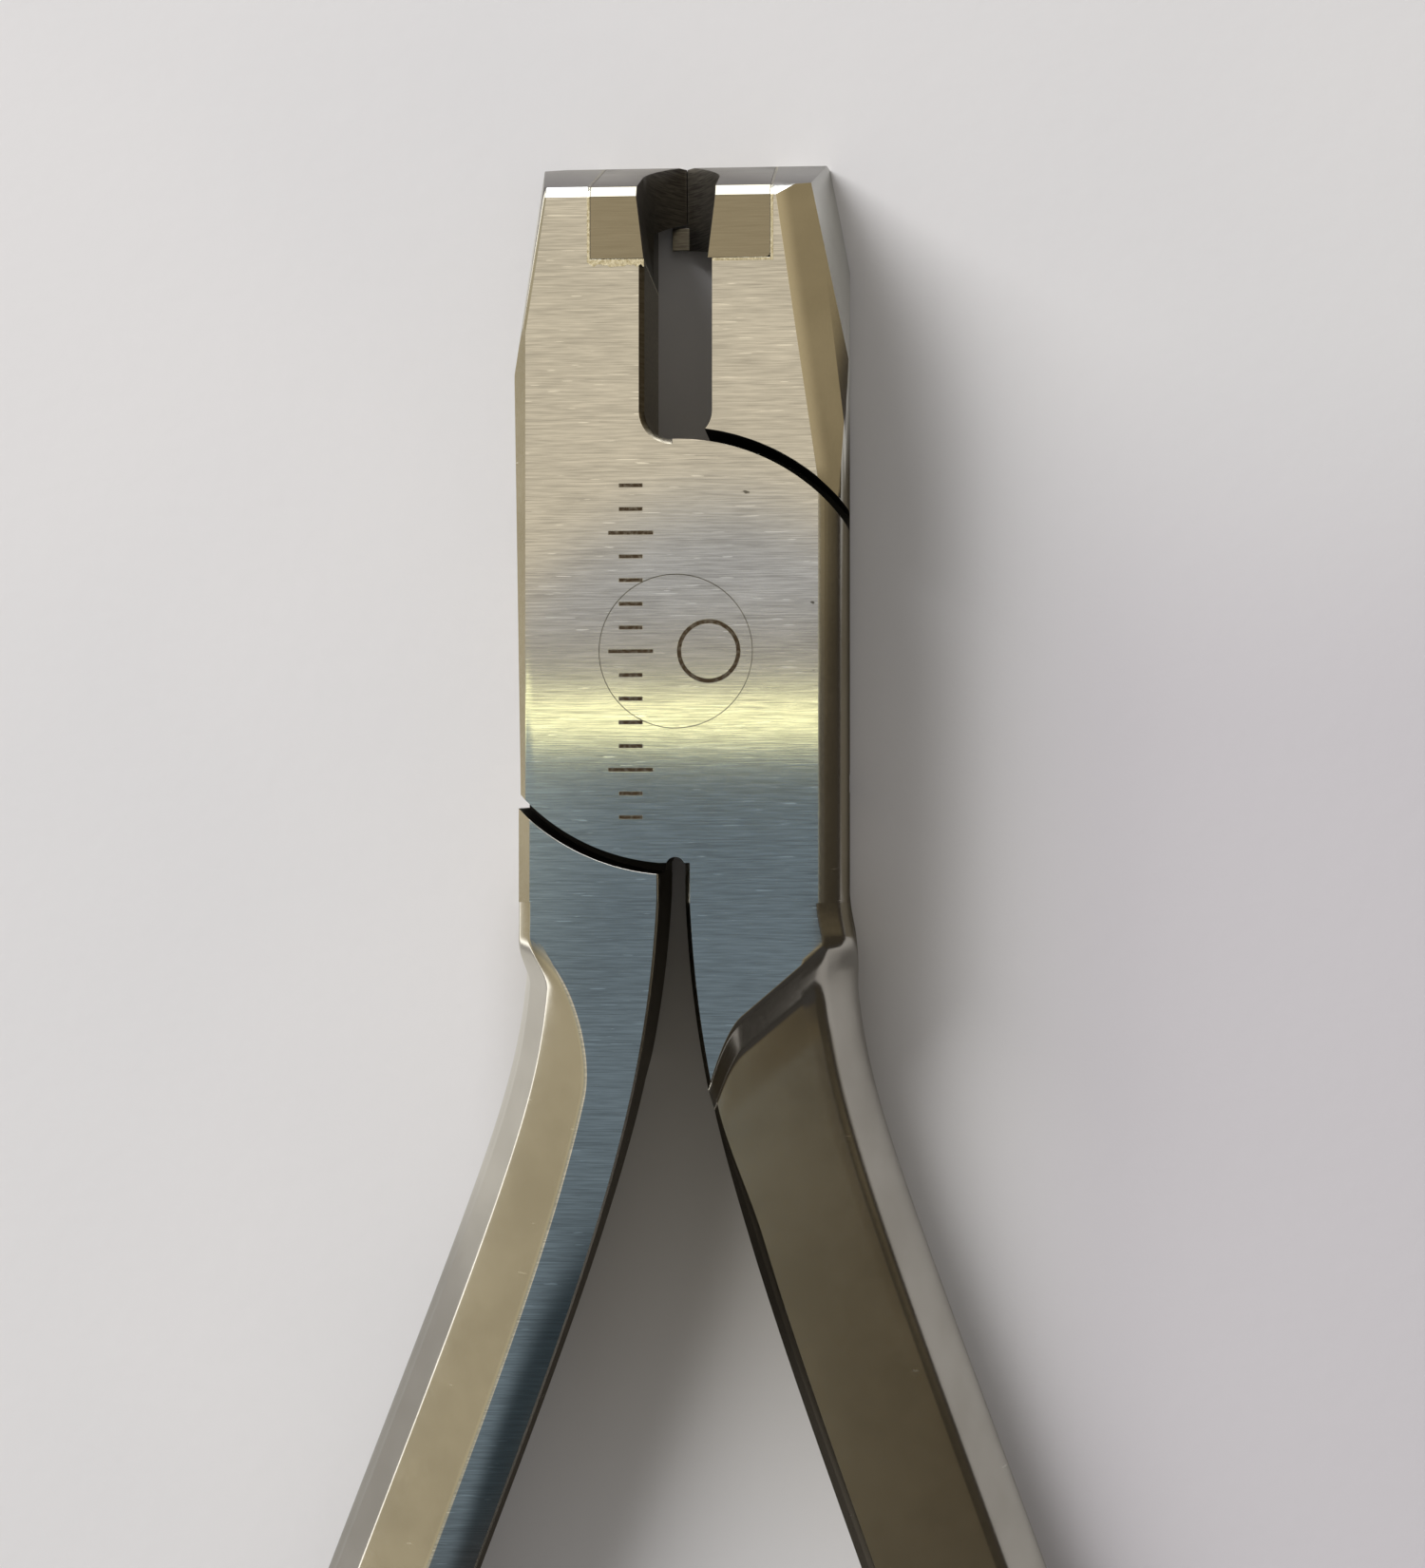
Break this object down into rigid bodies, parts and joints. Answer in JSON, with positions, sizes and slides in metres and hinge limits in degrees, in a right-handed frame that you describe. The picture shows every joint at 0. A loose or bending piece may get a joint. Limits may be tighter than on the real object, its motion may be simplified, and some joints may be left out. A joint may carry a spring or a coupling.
{
  "type": "end cutting pliers",
  "caption": "Slim steel hand pliers with a flush-screwed lap joint, a narrow window between the jaws and brazed hard cutting inserts at the square nose; jaws closed, grips apart.",
  "frame": {"origin": "the pivot axis, at the level of the rear face", "axes": "+Z along the pivot axis towards the front face, +Y from the pivot towards the nose, +X towards the rear half's jaw"},
  "size_m": [0.0587, 0.132, 0.0072],
  "materials": {
    "satin_steel": "fine cross-brushed flats, satin grips, polished edges",
    "screw_steel": "ground flush with the lap and brushed with it",
    "insert_metal": "finely ground, darker than the steel",
    "braze": "bright silver braze seam"
  },
  "bodies": {
    "front": {"front_half": "satin_steel", "left_insert": "insert_metal", "left_braze": "braze"},
    "rear": {"rear_half": "satin_steel", "joint_screw": "screw_steel", "right_insert": "insert_metal", "right_braze": "braze"}
  },
  "joints": [
    {"name": "jaw_hinge", "type": "hinge", "parent": "front", "child": "rear", "pos_m": [0, 0, 0.0036], "axis": [0, 0, -1], "range_deg": [0, 30]}
  ]
}
